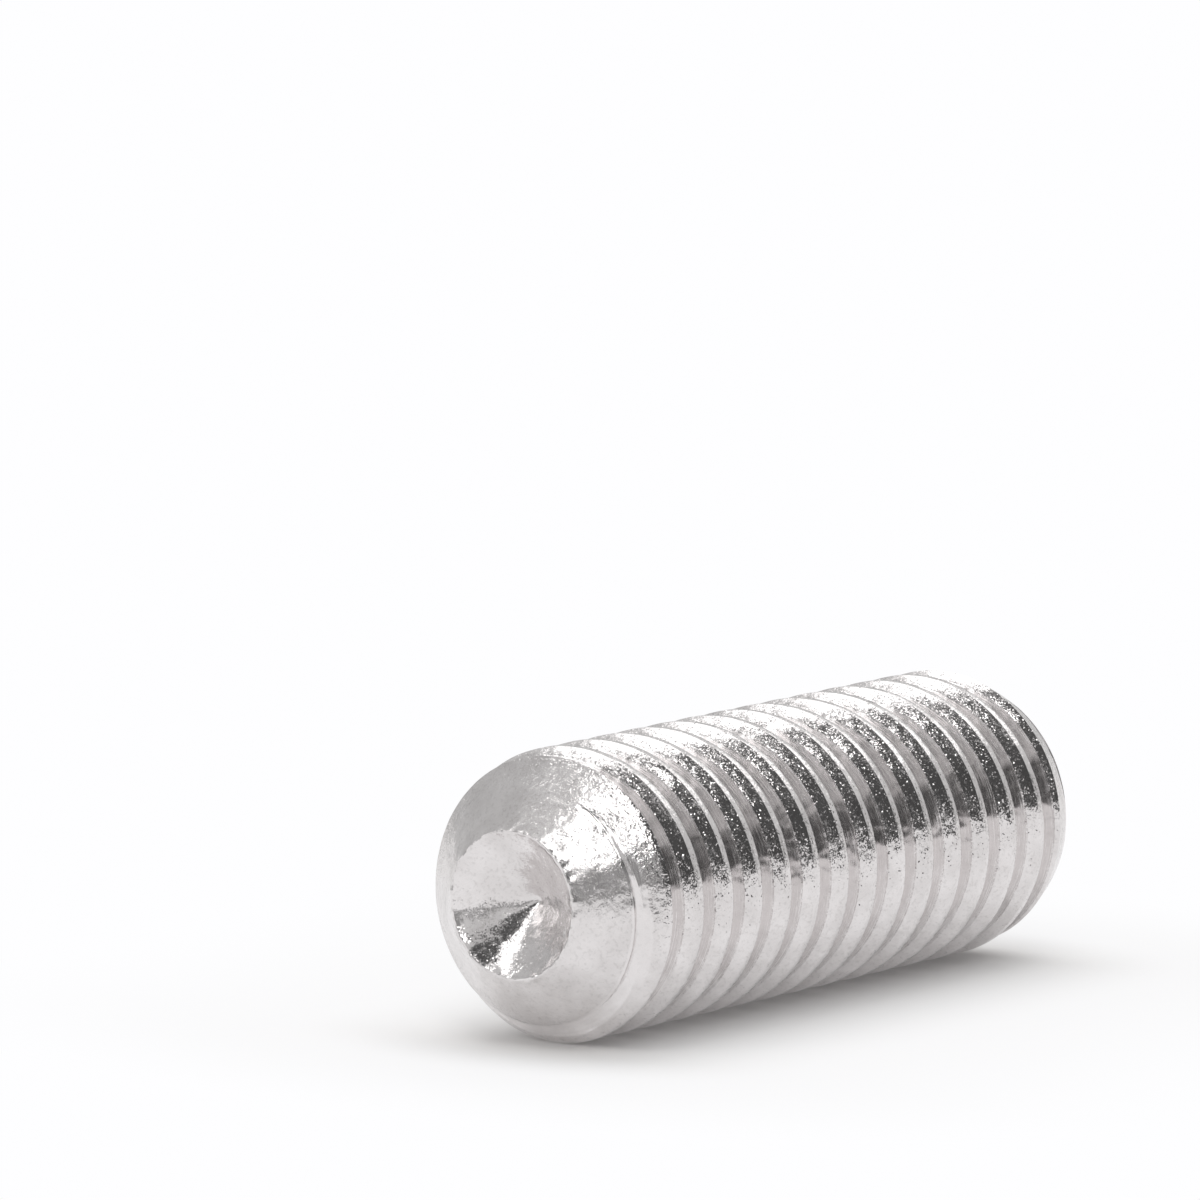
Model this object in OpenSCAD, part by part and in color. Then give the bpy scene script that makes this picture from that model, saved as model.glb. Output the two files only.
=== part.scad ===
// Grub set screw, M6 x 1 x 16, right-hand thread, hexagon socket and cup point.
// It stands on its socket end, with the cup point up. All lengths are millimetres.
// The screw is one piece of stainless steel: a headed-off blank with a chamfer at each end,
// a helical groove rolled round it, a cup in the point and a hexagon socket in the other end.

/* [Body] */
// Overall length, from the socket end to the rim of the cup
length = 16; // [8:1:30]
// Diameter over the thread's crests
thread_d = 5.88; // [5.8:0.02:6]

/* [Thread] */
// Rise of the thread for one turn
pitch = 1; // [0.9:0.05:1.1]
// Width of the flat along the bottom of the groove
root_w = 0.05; // [0.02:0.01:0.12]
// Angle of each flank from the plane across the axis
flank_angle = 30; // [26:0.5:30]
// Width of the flat along a finished crest
crest_w = 0.16; // [0.1:0.01:0.2]
// Width of the crest where its rounded shoulders meet the flanks
shoulder_w = 0.36; // [0.28:0.01:0.38]
// How far the rounded shoulders drop below the crest
shoulder_drop = 0.09; // [0.05:0.01:0.12]
// Angle round the axis at which a groove crosses the middle of the length
thread_phase = 158; // [0:1:359]
// Straight pieces that make up one turn of the groove
steps_per_turn = 32; // [24:4:48]

/* [Cup point] */
// Diameter of the cup's rim
cup_d = 3; // [2:0.1:3.4]
// Included angle of the cup
cup_angle = 118; // [90:1:130]
// Width of the small bevel inside the rim
rim_bevel = 0.12; // [0.04:0.02:0.2]
// Diameter at which the point's bevel turns into the unfilled first thread
point_shoulder_d = 5.24; // [4.8:0.02:5.5]
// Height of the point's bevel
point_bevel_h = 1.04; // [0.8:0.02:1.4]
// Height over which the first crests fill up to the full diameter
point_fill_h = 0.9; // [0.4:0.1:1.2]

/* [Socket end] */
// Diameter of the flat face that the screw stands on
end_face_d = 4.8; // [4.4:0.02:5]
// Diameter at which the end's bevel turns into the unfilled last thread
end_shoulder_d = 5.24; // [5.1:0.02:5.6]
// Height of the end's bevel
end_bevel_h = 0.3; // [0.2:0.05:0.5]
// Height over which the last crests fill up to the full diameter
end_fill_h = 0.8; // [0.4:0.1:1.2]

/* [Hexagon socket] */
// Size across the flats
socket_af = 3; // [2:0.5:3]
// Depth of the flats
socket_depth = 3.6; // [2:0.1:4]
// Included angle of the drilled bottom
socket_tip_angle = 120; // [100:5:140]
// Included angle of the countersink at the mouth
mouth_angle = 120; // [90:5:140]
// How far the countersink reaches past the corners of the hexagon
mouth_margin = 0.1; // [0.05:0.05:0.2]

/* [Hidden] */
$fn = 96;
eps = 0.01;
steel = [0.66, 0.655, 0.65];

thread_r = thread_d / 2;
cup_r = cup_d / 2;

// Half widths of the groove where it leaves the crest, below the shoulders and at the root.
// The flanks meet the root's flat as deep as their angle takes them.
mouth_half = (pitch - crest_w) / 2;
flank_half = (pitch - shoulder_w) / 2;
floor_half = root_w / 2;
flank_r = thread_r - shoulder_drop;
root_r = flank_r - (flank_half - floor_half) / tan(flank_angle);
// The cutter carries the slope of the shoulders on past the crests, so far that half of the
// crest's width is left between one turn and the next.
shoulder_slope = shoulder_drop / (mouth_half - flank_half);
outer_half = mouth_half + crest_w / 4;
outer_r = thread_r + (outer_half - mouth_half) * shoulder_slope;

// The groove runs out through both ends of the blank, with as many turns above the middle as below
groove_turns = 2 * ceil(length / pitch / 2) + 2;
groove_z0 = length / 2 - groove_turns * pitch / 2;
groove_steps = groove_turns * steps_per_turn;
step_angle = 360 / steps_per_turn;

// Across the corners, for the round features of the socket
socket_r = socket_af / 2;
socket_corner_r = socket_r / cos(30);
mouth_r = socket_corner_r + mouth_margin;

// Outline of the groove, as radius and height, from its lower edge round the outside to its root.
// Each side runs over the rounded shoulder of a crest and then down the flank.
groove_outline = [
    [flank_r, -flank_half],
    [outer_r, -outer_half],
    [outer_r, outer_half],
    [flank_r, flank_half],
    [root_r, floor_half],
    [root_r, -floor_half],
];
corners = len(groove_outline);

// The outline turned and raised to one step of the helix
function cutter_section(step) =
    let (a = thread_phase + step * step_angle)
    let (z = groove_z0 + step * pitch / steps_per_turn)
    [for (p = groove_outline) [p[0] * cos(a), p[0] * sin(a), z + p[1]]];

// Helical cutter of the thread, one section after another along the helix
module thread_cutter() {
    points = [for (step = [0:groove_steps]) each cutter_section(step)];
    sides = [
        for (step = [0:groove_steps - 1])
            for (k = [0:corners - 1])
                let (a = step * corners + k)
                let (b = step * corners + (k + 1) % corners)
                each [[a, b, b + corners], [a, b + corners, a + corners]]
    ];
    last = groove_steps * corners;
    polyhedron(
        points = points,
        faces = concat(
            sides,
            [[for (k = [corners - 1:-1:0]) k], [for (k = [0:corners - 1]) last + k]]
        ),
        convexity = 10
    );
}

// The blank: a bar with a bevel at each end, and a slow taper where the crests fill up
module blank() {
    rotate_extrude()
        polygon([
            [0, 0],
            [end_face_d / 2, 0],
            [end_shoulder_d / 2, end_bevel_h],
            [thread_r, end_bevel_h + end_fill_h],
            [thread_r, length - point_bevel_h - point_fill_h],
            [point_shoulder_d / 2, length - point_bevel_h],
            [cup_r, length],
            [0, length],
        ]);
}

// The cup in the point, with the small bevel inside its rim
module cup() {
    bevel_r = cup_r - rim_bevel;
    bevel_z = length - rim_bevel;
    cup_h = bevel_r / tan(cup_angle / 2);
    rotate_extrude()
        polygon([
            [0, bevel_z - cup_h],
            [bevel_r, bevel_z],
            [cup_r + eps, length + eps],
            [0, length + eps],
        ]);
}

// The hexagon, its drilled bottom and the countersink at its mouth
module hexagon_socket() {
    translate([0, 0, -eps])
        cylinder(r = socket_corner_r, h = socket_depth + eps, $fn = 6);
    tip_h = socket_r / tan(socket_tip_angle / 2);
    translate([0, 0, socket_depth - eps])
        cylinder(r1 = socket_r, r2 = 0, h = tip_h);
    mouth_h = mouth_r / tan(mouth_angle / 2);
    translate([0, 0, -eps])
        cylinder(r1 = mouth_r, r2 = 0, h = mouth_h);
}

module set_screw() {
    color(steel)
        difference() {
            blank();
            thread_cutter();
            cup();
            hexagon_socket();
        }
}

set_screw();
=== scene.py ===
import math

import bmesh
import bpy
from mathutils import Matrix, Vector, noise


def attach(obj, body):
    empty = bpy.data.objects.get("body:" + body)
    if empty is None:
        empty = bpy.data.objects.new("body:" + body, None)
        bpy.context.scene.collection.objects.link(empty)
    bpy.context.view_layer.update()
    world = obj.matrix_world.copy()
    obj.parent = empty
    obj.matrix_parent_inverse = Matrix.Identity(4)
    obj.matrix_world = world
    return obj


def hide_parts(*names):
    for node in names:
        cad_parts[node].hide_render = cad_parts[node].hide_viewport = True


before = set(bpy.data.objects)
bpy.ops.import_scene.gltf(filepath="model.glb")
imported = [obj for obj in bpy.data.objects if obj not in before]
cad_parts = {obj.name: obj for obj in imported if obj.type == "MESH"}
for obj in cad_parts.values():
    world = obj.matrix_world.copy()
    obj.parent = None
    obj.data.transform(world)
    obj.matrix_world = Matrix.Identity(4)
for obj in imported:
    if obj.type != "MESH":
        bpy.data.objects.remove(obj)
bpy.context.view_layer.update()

MM = 0.001

# Sizes of the screw, as in the part's source, in millimetres
LENGTH = 16.0
THREAD_R = 2.94
PITCH = 1.0
FLANK_TAN = math.tan(math.radians(30))
SHOULDER_DROP = 0.09
SHOULDER_HALF = 0.18
FLOOR_HALF = 0.025
GROOVE_PHASE = 158.0
FLANK_R = THREAD_R - SHOULDER_DROP
ROOT_R = FLANK_R - (PITCH / 2 - SHOULDER_HALF - FLOOR_HALF) / FLANK_TAN

CUP_R = 1.5
POINT_SHOULDER_R = 2.62
POINT_BEVEL_H = 1.04
END_FACE_R = 2.4
END_SHOULDER_R = 2.62
END_BEVEL_H = 0.3
END_FILL_H = 0.8

SOCKET_AF = 3.0
SOCKET_DEPTH = 3.6
SOCKET_TIP_ANGLE = 120.0
MOUTH_ANGLE = 120.0
MOUTH_MARGIN = 0.1
SOCKET_CORNER_R = SOCKET_AF / 2 / math.cos(math.radians(30))

# The worn crest: on the side that looks at the point a dome starts on the flank at this radius.
# Every half width is measured from a crest's middle, except the bend's, which is the groove's.
DOME_R = 2.79
DOME_HALF = 0.295
CREST_DOME_HALF = 0.07
CREST_PLAIN_HALF = 0.08
CREST_DOME_DROP = 0.002
CREST_PLAIN_DROP = 0.003
FLANK_BEND_R = 2.6
FLANK_BEND_HALF = 0.138
PLAIN_SHOULDER_SPARE = 0.02

# The root's small round, as steps outwards from the root and sideways from the groove's middle
ROOT_RISE = (0.004, 0.016)
FOOT_RISE = (0.03, 0.03)

# The first turns lie off the even pitch, by these lengths between these heights
LEAD_UP = 0.07
LEAD_DOWN = 0.05
LEAD_UP_FROM, LEAD_UP_TO = 13.5, 14.2
LEAD_DOWN_FROM, LEAD_DOWN_TO = 14.4, 15.3

# The point's bevel turns over at POINT_EDGE_R and meets the body at POINT_FILL_Z
POINT_EDGE_R = 2.83
POINT_FILL_Z = 14.52
BLANK_OVER = 0.01
CUP_DEPTH = 0.97
CUP_SAG = 0.03
CUP_STEPS = 12
RIM_LEAVE = 0.06

# Small rounds of the blank, as steps outwards and upwards from the end face's edge and the rim
END_EDGE = ((-0.05, 0), (-0.01, 0.015), (0.02, 0.04))
RIM_EDGE = ((0.03, -0.025), (0.008, -0.004), (-0.02, 0), (-0.045, -0.006), (-0.075, -0.028), (-0.11, -0.06))

# Shares of the way out and up between two corners of the thread's outline
EVEN = ((0.34, 0.34), (0.67, 0.67), (1, 1))
PLAIN_ROUND = ((0.35, 0.16), (0.62, 0.38), (0.84, 0.66), (1, 1))
WORN_ROUND = ((0.28, 0.25), (0.54, 0.5), (0.78, 0.75), (1, 1))

THREAD_STEPS = 144
BLANK_STEPS = 192
TOOL_STEPS = 96
TURNS_BELOW = 3
TURNS_SPARE = 7
SHEET_OVER = 0.7
MERGE = 1e-7
SHEET_MERGE = 2e-7

# Unevenness of the surface, as waves for each millimetre and their height in millimetres
SWELL = ((1.3, 0.006), (3.7, 0.0035))
BURR = ((4.5, 0.035), (9.0, 0.02))
RIM_REACH = 0.16
SHARP_EDGE = math.radians(19)


def finish_mesh(bm, name, smooth=True):
    """Turns a bmesh into an object at the origin."""
    mesh = bpy.data.meshes.new(name)
    bm.to_mesh(mesh)
    bm.free()
    for face in mesh.polygons:
        face.use_smooth = smooth
    piece = bpy.data.objects.new(name, mesh)
    bpy.context.scene.collection.objects.link(piece)
    return piece


def outline(bm, points):
    """A chain of edges through (radius, height) points, in millimetres."""
    verts = [bm.verts.new((r * MM, 0, z * MM)) for r, z in points]
    edges = [bm.edges.new(pair) for pair in zip(verts, verts[1:])]
    return verts + edges


def eased(start, end, bulge, count):
    """Points on a curve from start to end that bows outwards by bulge, start left out."""
    points = []
    for i in range(1, count + 1):
        share = i / count
        bow = 4 * share * (1 - share) * bulge
        points.append((start[0] + (end[0] - start[0]) * share + bow,
                       start[1] + (end[1] - start[1]) * share + bow))
    return points


def between(start, end, shares):
    """Points between two corners, at the given shares of the way out and up."""
    return [(start[0] + (end[0] - start[0]) * out, start[1] + (end[1] - start[1]) * rise)
            for out, rise in shares]


def spun(name, points, steps):
    """A closed solid of revolution about the screw's axis."""
    bm = bmesh.new()
    geom = outline(bm, points)
    bmesh.ops.spin(bm, geom=geom, cent=(0, 0, 0), axis=(0, 0, 1), angle=2 * math.pi,
                   steps=steps, use_merge=True, use_duplicate=False)
    bmesh.ops.remove_doubles(bm, verts=bm.verts[:], dist=MERGE)
    bmesh.ops.recalc_face_normals(bm, faces=bm.faces[:])
    return finish_mesh(bm, name)


def cut(piece, tool, operation):
    """Applies a boolean to a piece and removes its tool."""
    step = piece.modifiers.new("cut", "BOOLEAN")
    step.operation = operation
    step.object = tool
    step.solver = "MANIFOLD"
    bpy.context.view_layer.update()
    graph = bpy.context.evaluated_depsgraph_get()
    mesh = bpy.data.meshes.new_from_object(piece.evaluated_get(graph))
    piece.modifiers.clear()
    old = piece.data
    piece.data = mesh
    bpy.data.meshes.remove(old)
    bpy.data.objects.remove(tool)


# The rolled thread
def groove_profile():
    """One pitch of the thread's outline, from one groove's middle to the next, lowest first.

    It climbs the side of a crest that looks at the socket end, and goes down the side that looks
    at the point, where the crest is worn into a dome.
    """
    near_middle = (ROOT_R + ROOT_RISE[0], ROOT_RISE[1])
    foot = (ROOT_R + FOOT_RISE[0], FOOT_RISE[1])
    bend = (FLANK_BEND_R, FLANK_BEND_HALF)
    plain_top = (FLANK_R, PITCH / 2 - SHOULDER_HALF - PLAIN_SHOULDER_SPARE)
    plain_crest = (THREAD_R - CREST_PLAIN_DROP, PITCH / 2 - CREST_PLAIN_HALF)
    dome_foot = (DOME_R, PITCH / 2 - DOME_HALF)
    dome_crest = (THREAD_R - CREST_DOME_DROP, PITCH / 2 - CREST_DOME_HALF)
    plain_side = [(ROOT_R, 0.0), near_middle, foot]
    plain_side += between(foot, bend, EVEN) + between(bend, plain_top, EVEN)
    plain_side += between(plain_top, plain_crest, PLAIN_ROUND)
    worn_side = [near_middle, foot]
    worn_side += between(foot, bend, EVEN) + between(bend, dome_foot, EVEN)
    worn_side += between(dome_foot, dome_crest, WORN_ROUND)
    return plain_side + [(THREAD_R, PITCH / 2)] + [(r, PITCH - half) for r, half in reversed(worn_side)]


def smooth_share(value, low, high):
    """0 below low, 1 above high and a soft curve between them."""
    share = min(max((value - low) / (high - low), 0.0), 1.0)
    return share * share * (3 - 2 * share)


def lead_in(height):
    """How far the dies set the first turns off the even pitch, in millimetres."""
    raised = LEAD_UP * smooth_share(height, LEAD_UP_FROM, LEAD_UP_TO)
    return raised - (LEAD_UP + LEAD_DOWN) * smooth_share(height, LEAD_DOWN_FROM, LEAD_DOWN_TO)


def thread_solid():
    """The thread as one helical sheet, cut square and closed above and below the screw."""
    start = -TURNS_BELOW * PITCH - GROOVE_PHASE / 360 * PITCH
    points = []
    for turn in range(int(LENGTH / PITCH) + TURNS_SPARE):
        points += [(r, start + turn * PITCH + z) for r, z in groove_profile()]
    bm = bmesh.new()
    geom = outline(bm, points)
    bmesh.ops.spin(bm, geom=geom, cent=(0, 0, 0), axis=(0, 0, 1),
                   dvec=(0, 0, PITCH * MM / THREAD_STEPS), angle=2 * math.pi,
                   steps=THREAD_STEPS, use_merge=False, use_duplicate=False)
    bmesh.ops.remove_doubles(bm, verts=bm.verts[:], dist=SHEET_MERGE)
    for vert in bm.verts:
        vert.co.z += lead_in(vert.co.z / MM) * MM
    for height, side in ((-SHEET_OVER, -1), (LENGTH + SHEET_OVER, 1)):
        cut_off = bmesh.ops.bisect_plane(
            bm, geom=bm.verts[:] + bm.edges[:] + bm.faces[:], dist=1e-8,
            plane_co=(0, 0, height * MM), plane_no=(0, 0, side), clear_outer=True)
        rim = [e for e in cut_off["geom_cut"] if isinstance(e, bmesh.types.BMEdge)]
        bmesh.ops.contextual_create(bm, geom=rim)
    bmesh.ops.recalc_face_normals(bm, faces=bm.faces[:])
    return finish_mesh(bm, "set_screw_thread")


# The blank and the tools that cut its socket
def blank():
    """The screw before its groove: cup, point, body and socket end, as one outline."""
    over = THREAD_R + BLANK_OVER
    points = [(0, 0)] + [(END_FACE_R + out, rise) for out, rise in END_EDGE]
    points.append((END_SHOULDER_R, END_BEVEL_H))
    points += eased(points[-1], (over, END_BEVEL_H + END_FILL_H), bulge=0.0, count=6)
    points.append((over, POINT_FILL_Z))
    slope = POINT_BEVEL_H / (POINT_SHOULDER_R - CUP_R)
    edge = (POINT_EDGE_R, LENGTH - (POINT_EDGE_R - CUP_R) * slope)
    points += eased(points[-1], edge, bulge=0.02, count=8)
    points += eased(points[-1], (CUP_R + RIM_LEAVE, LENGTH - RIM_LEAVE), bulge=0.006, count=12)
    points += [(CUP_R + out, LENGTH + rise) for out, rise in RIM_EDGE]
    cup_r, cup_z = points[-1]
    for i in range(1, CUP_STEPS + 1):
        share = i / CUP_STEPS
        sag = CUP_SAG * 4 * share * (1 - share)
        points.append((cup_r * (1 - share), cup_z - share * (CUP_DEPTH - RIM_LEAVE) + sag))
    return spun("blank", points, BLANK_STEPS)


def socket_punch():
    """The hexagon that is pressed into the end."""
    below = 0.5
    bm = bmesh.new()
    bmesh.ops.create_circle(bm, cap_ends=True, segments=6, radius=SOCKET_CORNER_R * MM)
    bmesh.ops.translate(bm, verts=bm.verts[:], vec=(0, 0, -below * MM))
    pushed = bmesh.ops.extrude_face_region(bm, geom=bm.faces[:])
    moved = [v for v in pushed["geom"] if isinstance(v, bmesh.types.BMVert)]
    bmesh.ops.translate(bm, verts=moved, vec=(0, 0, (SOCKET_DEPTH + below) * MM))
    bmesh.ops.recalc_face_normals(bm, faces=bm.faces[:])
    return finish_mesh(bm, "punch", smooth=False)


def socket_drill():
    """The drill that leaves the cone at the socket's bottom."""
    clearance = 0.02
    drill_r = SOCKET_AF / 2 - clearance
    drill_from = 1
    shoulder_z = SOCKET_DEPTH + 0.001
    tip = drill_r / math.tan(math.radians(SOCKET_TIP_ANGLE / 2))
    return spun("drill", [(0, drill_from), (drill_r, drill_from), (drill_r, shoulder_z),
                          (0, SOCKET_DEPTH + tip)], TOOL_STEPS)


def socket_mouth():
    """The countersink at the socket's mouth."""
    mouth_r = SOCKET_CORNER_R + MOUTH_MARGIN
    mouth_tan = math.tan(math.radians(MOUTH_ANGLE / 2))
    below = 0.3
    return spun("mouth", [(0, -below), (mouth_r + below * mouth_tan, -below), (0, mouth_r / mouth_tan)],
                TOOL_STEPS)


def waves(spot, rows):
    """Height of a few layers of unevenness at a place, in millimetres."""
    return sum(noise.noise(spot * rate) * height for rate, height in rows)


def roughen(piece):
    """Swells the surface a little, burrs the cup's rim and marks the sharp edges."""
    bm = bmesh.new()
    bm.from_mesh(piece.data)
    bmesh.ops.remove_doubles(bm, verts=bm.verts[:], dist=MERGE)
    bm.normal_update()
    for vert in bm.verts:
        spot = vert.co / MM
        swell = waves(spot, SWELL)
        from_rim = math.hypot(math.hypot(spot.x, spot.y) - CUP_R, spot.z - LENGTH)
        if from_rim < RIM_REACH:
            swell += waves(spot, BURR) * (1 - from_rim / RIM_REACH)
        vert.co += vert.normal * swell * MM
    for face in bm.faces:
        face.smooth = True
    for edge in bm.edges:
        edge.smooth = len(edge.link_faces) == 2 and edge.calc_face_angle(0) < SHARP_EDGE
    bm.to_mesh(piece.data)
    bm.free()


def grub_screw():
    """The whole screw as one closed mesh."""
    piece = thread_solid()
    cut(piece, blank(), "INTERSECT")
    cut(piece, socket_punch(), "DIFFERENCE")
    cut(piece, socket_drill(), "DIFFERENCE")
    cut(piece, socket_mouth(), "DIFFERENCE")
    piece.name = "grub_screw"
    roughen(piece)
    return piece


class Nodes:
    """Short calls for laying out one node tree."""

    def __init__(self, tree):
        self.tree = tree
        tree.nodes.clear()

    def add(self, kind, **values):
        made = self.tree.nodes.new(kind)
        for key, value in values.items():
            setattr(made, key, value)
        return made

    def put(self, socket, value):
        if isinstance(value, bpy.types.NodeSocket):
            self.tree.links.new(value, socket)
        else:
            socket.default_value = value

    def maths(self, operation, *values):
        made = self.add("ShaderNodeMath", operation=operation)
        for socket, value in zip(made.inputs, values):
            self.put(socket, value)
        return made.outputs[0]

    def product(self, first, second):
        return self.maths("MULTIPLY", first, second)

    def total(self, first, second):
        return self.maths("ADD", first, second)

    def rest_of(self, share):
        return self.maths("SUBTRACT", 1.0, share)

    def vector(self, operation, *values, scale=None):
        made = self.add("ShaderNodeVectorMath", operation=operation)
        for socket, value in zip(made.inputs, values):
            self.put(socket, value)
        if scale is not None:
            self.put(made.inputs["Scale"], scale)
        single = operation in ("DOT_PRODUCT", "LENGTH")
        return made.outputs["Value" if single else "Vector"]

    def joined(self, x, y, z):
        made = self.add("ShaderNodeCombineXYZ")
        for socket, value in zip(made.inputs, (x, y, z)):
            self.put(socket, value)
        return made.outputs[0]

    def step(self, source, low, high, to_low=0.0, to_high=1.0):
        made = self.add("ShaderNodeMapRange", interpolation_type="SMOOTHSTEP")
        for name, value in (("Value", source), ("From Min", low), ("From Max", high),
                            ("To Min", to_low), ("To Max", to_high)):
            self.put(made.inputs[name], value)
        return made.outputs["Result"]

    def noise(self, place, scale, detail=2.0, rough=0.5, warp=0.0):
        made = self.add("ShaderNodeTexNoise")
        for name, value in (("Vector", place), ("Scale", scale), ("Detail", detail),
                            ("Roughness", rough), ("Distortion", warp)):
            self.put(made.inputs[name], value)
        return made.outputs["Fac"]

    def blend(self, share, first, second):
        made = self.add("ShaderNodeMix", data_type="FLOAT")
        self.put(made.inputs[0], share)
        self.put(made.inputs[2], first)
        self.put(made.inputs[3], second)
        return made.outputs[0]

    def tint(self, share, first, second):
        made = self.add("ShaderNodeMix", data_type="RGBA")
        self.put(made.inputs[0], share)
        self.put(made.inputs[6], first)
        self.put(made.inputs[7], second)
        return made.outputs[2]

    def bump(self, height, distance, normal):
        made = self.add("ShaderNodeBump")
        self.put(made.inputs["Strength"], 1.0)
        self.put(made.inputs["Distance"], distance)
        self.put(made.inputs["Height"], height)
        self.put(made.inputs["Normal"], normal)
        return made.outputs["Normal"]

    def mixed(self, share, first, second):
        made = self.add("ShaderNodeMixShader")
        for socket, value in zip(made.inputs, (share, first, second)):
            self.put(socket, value)
        return made.outputs[0]


# The steel: every place and length in its nodes is in millimetres
def groove_wall(n, place, x, y, z, radius):
    """Share of the skin that the dies pressed: the flanks of the groove, with a ragged edge."""
    turn_share = n.maths("DIVIDE", n.maths("ARCTAN2", y, x), 2 * math.pi)
    lead_shift = n.total(n.step(z, LEAD_UP_FROM, LEAD_UP_TO, 0.0, -LEAD_UP),
                         n.step(z, LEAD_DOWN_FROM, LEAD_DOWN_TO, 0.0, LEAD_UP + LEAD_DOWN))
    along = n.maths("SUBTRACT", n.maths("DIVIDE", n.total(z, lead_shift), PITCH),
                    n.maths("SUBTRACT", turn_share, GROOVE_PHASE / 360))
    offset = n.maths("ABSOLUTE", n.maths("SUBTRACT", n.maths("FRACT", n.total(along, 0.5)), 0.5))
    groove_half = n.maths("MULTIPLY_ADD", radius, FLANK_TAN, FLOOR_HALF - ROOT_R * FLANK_TAN)
    inside = n.maths("SUBTRACT", groove_half, n.product(offset, PITCH))
    ragged_width = 0.05
    wall_edge, wall_top, below_rim = (-0.045, -0.02), (2.785, 2.745), (LENGTH - 0.4, LENGTH - 0.6)
    ragged = n.maths("MULTIPLY_ADD", n.noise(place, scale=7.0, detail=3.0, rough=0.6),
                     ragged_width, -ragged_width / 2)
    pressed = n.product(n.step(n.total(inside, ragged), *wall_edge),
                        n.step(n.total(radius, ragged), *wall_top))
    return n.product(pressed, n.step(z, *below_rim))


def pickled_normal(n, place, z, radius, wall, cup):
    """The grain of the skin that the dies never touched: small facets, a few of them steep."""
    facets_per_mm = 40.0
    cells = n.add("ShaderNodeTexVoronoi")
    n.put(cells.inputs["Vector"], place)
    n.put(cells.inputs["Scale"], facets_per_mm)
    lean = n.vector("SUBTRACT", cells.outputs["Color"], (0.5, 0.5, 0.5))
    chance = n.add("ShaderNodeTexWhiteNoise")
    n.put(chance.inputs["Vector"], cells.outputs["Color"])
    rarity, steep_lean, plain_lean = 6.0, 1.5, 0.3
    steep = n.maths("MULTIPLY_ADD", n.maths("POWER", chance.outputs["Value"], rarity),
                    steep_lean, plain_lean)
    shoulder_out, below_point, crest_in, crest_share = (2.6, 2.72), (15.0, 14.7), (2.95, 2.91), 0.8
    on_shoulder = n.product(n.step(radius, *shoulder_out), n.step(z, *below_point))
    on_shoulder = n.product(on_shoulder, n.step(radius, *crest_in, crest_share, 1.0))
    shoulder_grain, body_grain, cup_grain = 0.24, 0.15, 0.16
    grain = n.product(n.rest_of(n.maths("MAXIMUM", wall, cup)),
                      n.maths("MULTIPLY_ADD", on_shoulder, shoulder_grain, body_grain))
    grain = n.maths("MAXIMUM", grain, n.product(cup, cup_grain))
    surface = n.add("ShaderNodeNewGeometry").outputs["Normal"]
    leaning = n.vector("SCALE", lean, scale=n.product(steep, grain))
    return n.vector("NORMALIZE", n.vector("ADD", surface, leaning))


def wrinkles(n, place, z, radius, wall):
    """Wrinkles of the headed blank, strongest on the land beside the first groove."""
    land_low, land_out = (14.2, 14.6), (2.15, 2.4)
    land = n.product(n.step(z, *land_low), n.step(radius, *land_out))
    land_height, body_height = 0.7, 0.3
    height = n.product(n.noise(place, scale=8.0, warp=1.0),
                       n.maths("MULTIPLY_ADD", land, land_height, body_height))
    return n.product(height, n.rest_of(wall))


def die_lines(n, x, y, z, radius):
    """Fine lines that the dies drew along the groove."""
    lines_per_mm, drift, rise = 36.0, 0.7, 0.6
    line_place = n.joined(n.product(radius, lines_per_mm), n.product(x, drift),
                          n.maths("MULTIPLY_ADD", y, drift, n.product(z, rise)))
    return n.noise(line_place, scale=1.0, detail=3.0, rough=0.6)


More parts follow.
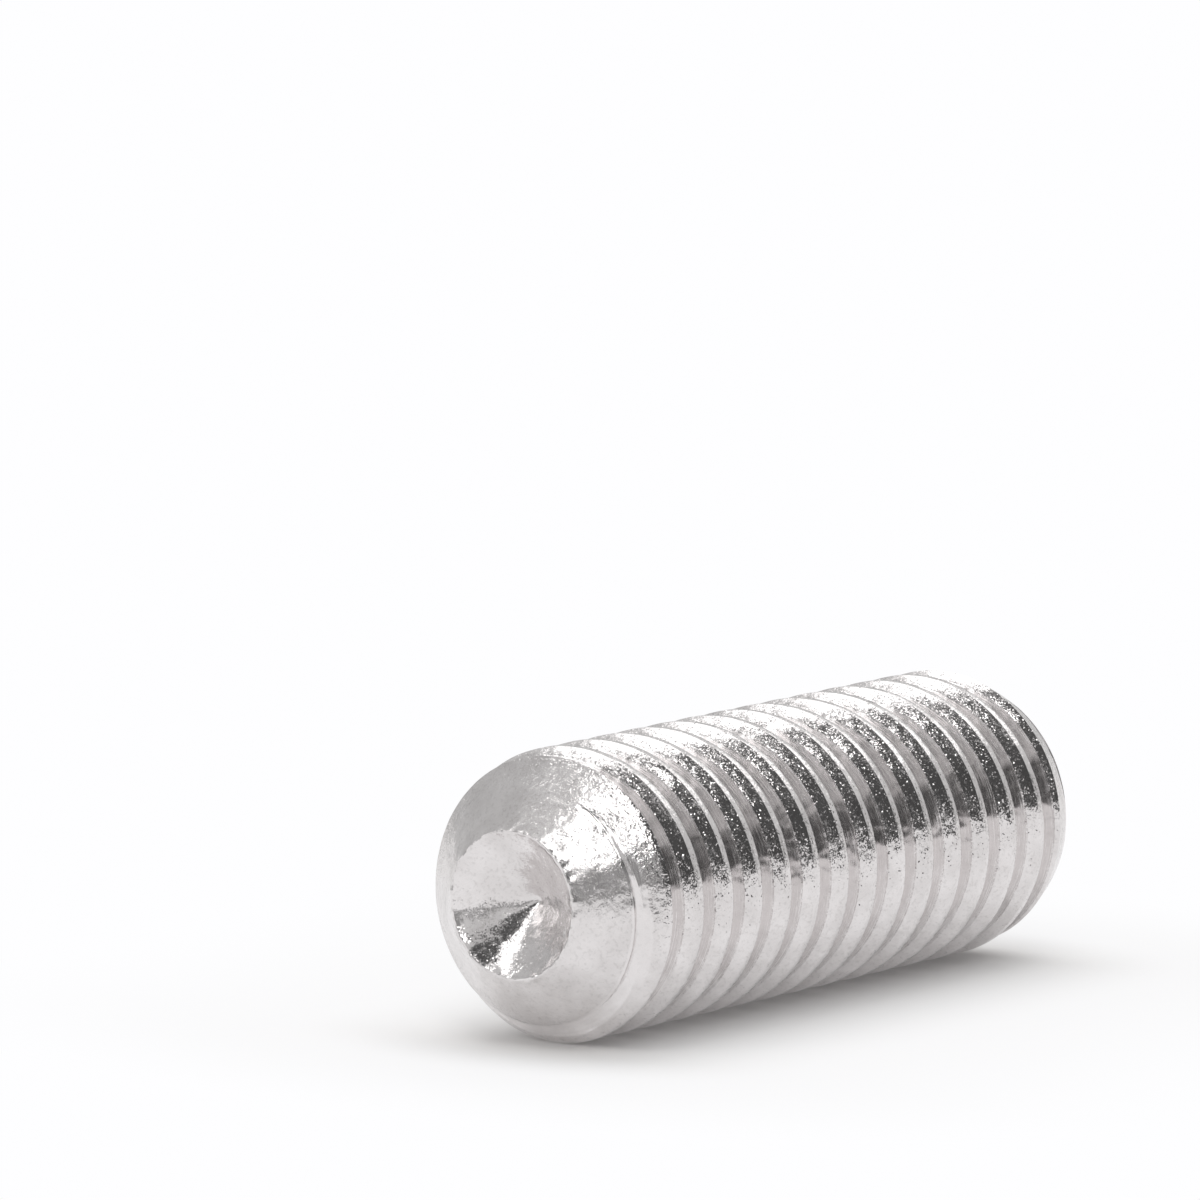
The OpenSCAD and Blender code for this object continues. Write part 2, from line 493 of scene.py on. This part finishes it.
def stainless_steel():
    """Bright pickled steel, with pressed flanks, a grained skin and a little tarnish."""
    steel = bpy.data.materials.new("stainless_steel")
    steel.use_nodes = True
    n = Nodes(steel.node_tree)
    shader = n.add("ShaderNodeBsdfPrincipled")
    n.put(n.add("ShaderNodeOutputMaterial").inputs[0], shader.outputs[0])
    place = n.vector("SCALE", n.add("ShaderNodeTexCoord").outputs["Object"], scale=1 / MM)
    split = n.add("ShaderNodeSeparateXYZ")
    n.put(split.inputs[0], place)
    x, y, z = split.outputs
    radius = n.vector("LENGTH", n.joined(x, y, 0.0))

    wall = groove_wall(n, place, x, y, z, radius)
    inside_rim, above_cup = (CUP_R, CUP_R - 0.06), (14.0, 14.2)
    cup = n.product(n.step(radius, *inside_rim), n.step(z, *above_cup))
    lines = die_lines(n, x, y, z, radius)
    blotches = n.noise(place, scale=1.6)
    blotch_depth, wrinkle_depth, line_depth = 0.05 * MM, 0.016 * MM, 0.007 * MM
    normal = pickled_normal(n, place, z, radius, wall, cup)
    normal = n.bump(blotches, blotch_depth, normal)
    normal = n.bump(wrinkles(n, place, z, radius, wall), wrinkle_depth, normal)
    normal = n.bump(n.product(lines, wall), line_depth, normal)
    n.put(shader.inputs["Normal"], normal)

    worn = n.noise(place, scale=3.0, detail=4.0, rough=0.6)
    rough_spread, point_rough, body_rough, wall_rough = 0.08, 0.06, 0.13, 0.11
    point_low, point_in = (14.4, 14.7), (2.8, 2.6)
    on_point = n.product(n.step(z, *point_low), n.step(radius, *point_in))
    skin_rough = n.maths("MULTIPLY_ADD", worn, rough_spread,
                         n.maths("MULTIPLY_ADD", on_point, point_rough, body_rough))
    pressed_rough = n.maths("MULTIPLY_ADD", lines, rough_spread, wall_rough)
    n.put(shader.inputs["Roughness"], n.blend(n.maths("MAXIMUM", wall, cup), skin_rough, pressed_rough))

    cloud_range, speck_range = (0.32, 0.68), (0.5, 0.3)
    clouds = n.step(n.noise(place, scale=1.3, detail=3.0, rough=0.6), *cloud_range)
    specks = n.step(n.noise(place, scale=13.0, rough=0.6), *speck_range)
    cloud_share, speck_share, wall_clean = 0.6, 0.5, 0.6
    tarnish = n.product(n.rest_of(n.product(wall, wall_clean)),
                        n.total(n.product(clouds, cloud_share), n.product(specks, speck_share)))
    bright, dull = (0.81, 0.785, 0.783, 1), (0.66, 0.635, 0.63, 1)
    n.put(shader.inputs["Base Color"], n.tint(tarnish, bright, dull))
    shader.inputs["Metallic"].default_value = 1
    return steel


screw = grub_screw()
screw.data.materials.clear()
screw.data.materials.append(stainless_steel())

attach(screw, "root")
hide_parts("set_screw")

# The screw stands in the model and is pictured lying, so the camera is rolled
PHOTO_UP = Vector((1, -1, 0)).normalized()
POINT_WAY = Vector((0, 0, 1))
PHOTO_SIDE = PHOTO_UP.cross(POINT_WAY)
MIDDLE = Vector((0, 0, LENGTH / 2 * MM))

# Half the width of the sheet, in metres
SHEET_HALF = 2.0

# The focal length and the screw's distance from the picture's middle are in pixels of the picture
PHOTO_SIZE = 1200
FOCAL = 12771.7
OFF_RIGHT, OFF_DOWN = 146.2, 254.0
SENSOR = 36
DISTANCE = 258.3 * MM
TURN, RISE = math.radians(35.32), math.radians(9.0)


def picture_camera():
    """The camera, and its level look and right, which the floor and the lights are set by."""
    away = (math.cos(RISE) * math.cos(TURN) * POINT_WAY
            + math.cos(RISE) * math.sin(TURN) * PHOTO_SIDE + math.sin(RISE) * PHOTO_UP)
    stand = MIDDLE + DISTANCE * away
    look = (MIDDLE - stand).normalized()
    right = look.cross(PHOTO_UP).normalized()
    up = right.cross(look)
    pan = math.atan2(OFF_RIGHT, FOCAL)
    tilt = math.atan2(-OFF_DOWN * math.cos(pan), FOCAL)
    cam_right = math.cos(pan) * right + math.sin(pan) * look
    panned_look = -math.sin(pan) * right + math.cos(pan) * look
    cam_up = math.cos(tilt) * up + math.sin(tilt) * panned_look
    cam_look = -math.sin(tilt) * up + math.cos(tilt) * panned_look

    data = bpy.data.cameras.new("camera")
    data.sensor_fit = "HORIZONTAL"
    data.sensor_width = SENSOR
    data.lens = FOCAL / PHOTO_SIZE * SENSOR
    data.clip_start = 0.01
    data.clip_end = 100
    camera = bpy.data.objects.new("camera", data)
    camera.matrix_world = Matrix((
        (cam_right.x, cam_up.x, -cam_look.x, stand.x),
        (cam_right.y, cam_up.y, -cam_look.y, stand.y),
        (cam_right.z, cam_up.z, -cam_look.z, stand.z),
        (0, 0, 0, 1)))
    bpy.context.scene.collection.objects.link(camera)
    level_away = Vector(look - look.dot(PHOTO_UP) * PHOTO_UP).normalized()
    return camera, level_away, right


camera, level_away, level_right = picture_camera()
bpy.context.scene.camera = camera


def white_sheet():
    """White paper that keeps the screw's shadow and fades to pure white away from it.

    Rays of the camera and of reflections see it glow, less so close to where the screw rests.
    From below it can be seen through.
    """
    paper = bpy.data.materials.new("white_sheet")
    paper.use_nodes = True
    n = Nodes(paper.node_tree)
    diffuse = n.add("ShaderNodeBsdfDiffuse")
    diffuse.inputs["Color"].default_value = (0.90, 0.885, 0.87, 1)
    glow = n.add("ShaderNodeEmission")
    glow.inputs["Color"].default_value = (0.99, 0.99, 1, 1)
    spot = n.add("ShaderNodeTexCoord").outputs["Object"]
    half_rest = (LENGTH / 2 - 1.2) * MM
    end_gain = 1.8
    from_middle = n.maths("ABSOLUTE", n.maths(
        "SUBTRACT", n.vector("DOT_PRODUCT", spot, POINT_WAY), LENGTH / 2 * MM))
    past_end = n.product(n.maths("MAXIMUM", n.maths("SUBTRACT", from_middle, half_rest), 0.0), end_gain)
    aside = n.vector("DOT_PRODUCT", spot, PHOTO_SIDE)
    clearance = n.vector("LENGTH", n.joined(past_end, aside, 0.0))
    near, far = (0.4 * MM, 6 * MM), (4 * MM, 15 * MM)
    open_share = n.total(n.step(clearance, *near, 0.06, 0.82), n.step(clearance, *far, 0.0, 0.18))
    mirrored_near, behind = (0.2 * MM, 4.5 * MM), (2 * MM, 20 * MM)
    mirrored_share = n.product(
        n.step(clearance, *mirrored_near, 0.14, 0.79),
        n.step(n.vector("DOT_PRODUCT", spot, level_away), *behind, 1.0, 0.6))
    rays = n.add("ShaderNodeLightPath")
    seen = n.maths("MAXIMUM", n.product(open_share, rays.outputs["Is Camera Ray"]),
                   n.product(mirrored_share, rays.outputs["Is Glossy Ray"]))
    lit = n.mixed(seen, diffuse.outputs[0], glow.outputs[0])
    below = n.add("ShaderNodeNewGeometry").outputs["Backfacing"]
    both = n.mixed(below, lit, n.add("ShaderNodeBsdfTransparent").outputs[0])
    n.put(n.add("ShaderNodeOutputMaterial").inputs[0], both)
    return paper


def sheet():
    """The flat sheet that the screw lies on, touching its crests."""
    bm = bmesh.new()
    bmesh.ops.create_grid(bm, x_segments=1, y_segments=1, size=SHEET_HALF)
    to_level = Matrix((level_right, level_away, PHOTO_UP)).transposed()
    bmesh.ops.rotate(bm, verts=bm.verts[:], cent=(0, 0, 0), matrix=to_level)
    bmesh.ops.translate(bm, verts=bm.verts[:], vec=MIDDLE - THREAD_R * MM * PHOTO_UP)
    made = finish_mesh(bm, "floor", smooth=False)
    made.data.materials.append(white_sheet())
    return made


floor = sheet()


# The studio: a pale wall behind, a window at its left, boxes overhead and cards round the camera.
# A direction is its rise above the floor and its turn to the right of straight away, in degrees.
def heading(rise, turn):
    """A direction as a vector."""
    rise, turn = math.radians(rise), math.radians(turn)
    return (math.sin(rise) * PHOTO_UP
            + math.cos(rise) * (math.cos(turn) * level_away + math.sin(turn) * level_right))


def soft_box(n, coords, rise, turn, spread, edge, light):
    """A round light: spread is from its middle to its edge, and edge is how soft that is."""
    facing = n.vector("DOT_PRODUCT", coords, heading(rise, turn))
    dark_at = math.cos(math.radians(spread + edge))
    full_at = math.cos(math.radians(spread - edge))
    return n.step(facing, dark_at, full_at, 0.0, light)


def sector(n, coords, turn_from, turn_to):
    """All directions between two turns, soft at both sides."""
    soft = 0.03
    return n.product(n.step(n.vector("DOT_PRODUCT", coords, heading(0, turn_from + 90)), -soft, soft),
                     n.step(n.vector("DOT_PRODUCT", coords, heading(0, turn_to - 90)), -soft, soft))


def by_rise(n, height, rise_from, rise_to, light_from, light_to):
    """A light that changes from one strength to another between two rises."""
    return n.step(height, math.sin(math.radians(rise_from)), math.sin(math.radians(rise_to)),
                  light_from, light_to)


def studio_light(n, coords):
    """The strength of the studio's light in every direction: the brightest of its parts."""
    height = n.vector("DOT_PRODUCT", coords, PHOTO_UP)
    wall_light = n.product(by_rise(n, height, 80, 58, 0.1, 1.0), by_rise(n, height, 8, 30, 0.6, 0.72))
    wall = n.product(soft_box(n, coords, rise=10, turn=-14, spread=88, edge=3, light=1.0), wall_light)
    wall = n.product(wall, n.rest_of(soft_box(n, coords, rise=38, turn=-82, spread=42, edge=16, light=0.24)))
    window = n.product(sector(n, coords, -127, -104), n.product(
        by_rise(n, height, 20, 27, 0.0, 1.0), by_rise(n, height, 56, 49, 0.0, 2.2)))
    tall_box = n.product(sector(n, coords, 168, 184), n.product(
        by_rise(n, height, 24, 31, 0.0, 1.0), by_rise(n, height, 66, 60, 0.0, 3.4)))
    left_card = n.product(sector(n, coords, -180, -138), n.product(
        by_rise(n, height, 36, 30, 0.0, 0.66), by_rise(n, height, 4, 9, 0.36, 1.0)))
    right_card = n.product(sector(n, coords, 148, 182), by_rise(n, height, 28, 20, 0.0, 0.3))
    back_box = soft_box(n, coords, rise=60, turn=4, spread=27, edge=6, light=1.7)
    right_box = soft_box(n, coords, rise=48, turn=92, spread=20, edge=5, light=0.62)
    left_top_box = soft_box(n, coords, rise=72, turn=-42, spread=12, edge=3, light=2.0)
    fill_box = soft_box(n, coords, rise=62, turn=-108, spread=19, edge=6, light=0.62)
    glint_box = soft_box(n, coords, rise=36, turn=40, spread=13, edge=5, light=1.5)
    low_wall = soft_box(n, coords, rise=8, turn=-118, spread=16, edge=5, light=0.85)
    top_box = soft_box(n, coords, rise=63, turn=-170, spread=12, edge=3, light=3.0)
    brightest = 0.07
    for light in (wall, window, tall_box, left_card, right_card, back_box, right_box,
                  left_top_box, fill_box, glint_box, low_wall, top_box):
        brightest = n.maths("MAXIMUM", brightest, light)
    return brightest


def studio():
    """The world: the studio's light for the screw and plain white for the camera."""
    world = bpy.data.worlds.new("studio")
    world.use_nodes = True
    n = Nodes(world.node_tree)
    coords = n.add("ShaderNodeTexCoord").outputs["Generated"]
    light = n.add("ShaderNodeBackground")
    light.inputs["Color"].default_value = (1, 1, 1, 1)
    n.put(light.inputs["Strength"], studio_light(n, coords))
    white = n.add("ShaderNodeBackground")
    white.inputs["Color"].default_value = (1, 1, 1, 1)
    white.inputs["Strength"].default_value = 1
    for_camera = n.add("ShaderNodeLightPath").outputs["Is Camera Ray"]
    n.put(n.add("ShaderNodeOutputWorld").inputs[0], n.mixed(for_camera, light.outputs[0], white.outputs[0]))
    return world


bpy.context.scene.world = studio()
bpy.context.scene.view_settings.view_transform = "Standard"
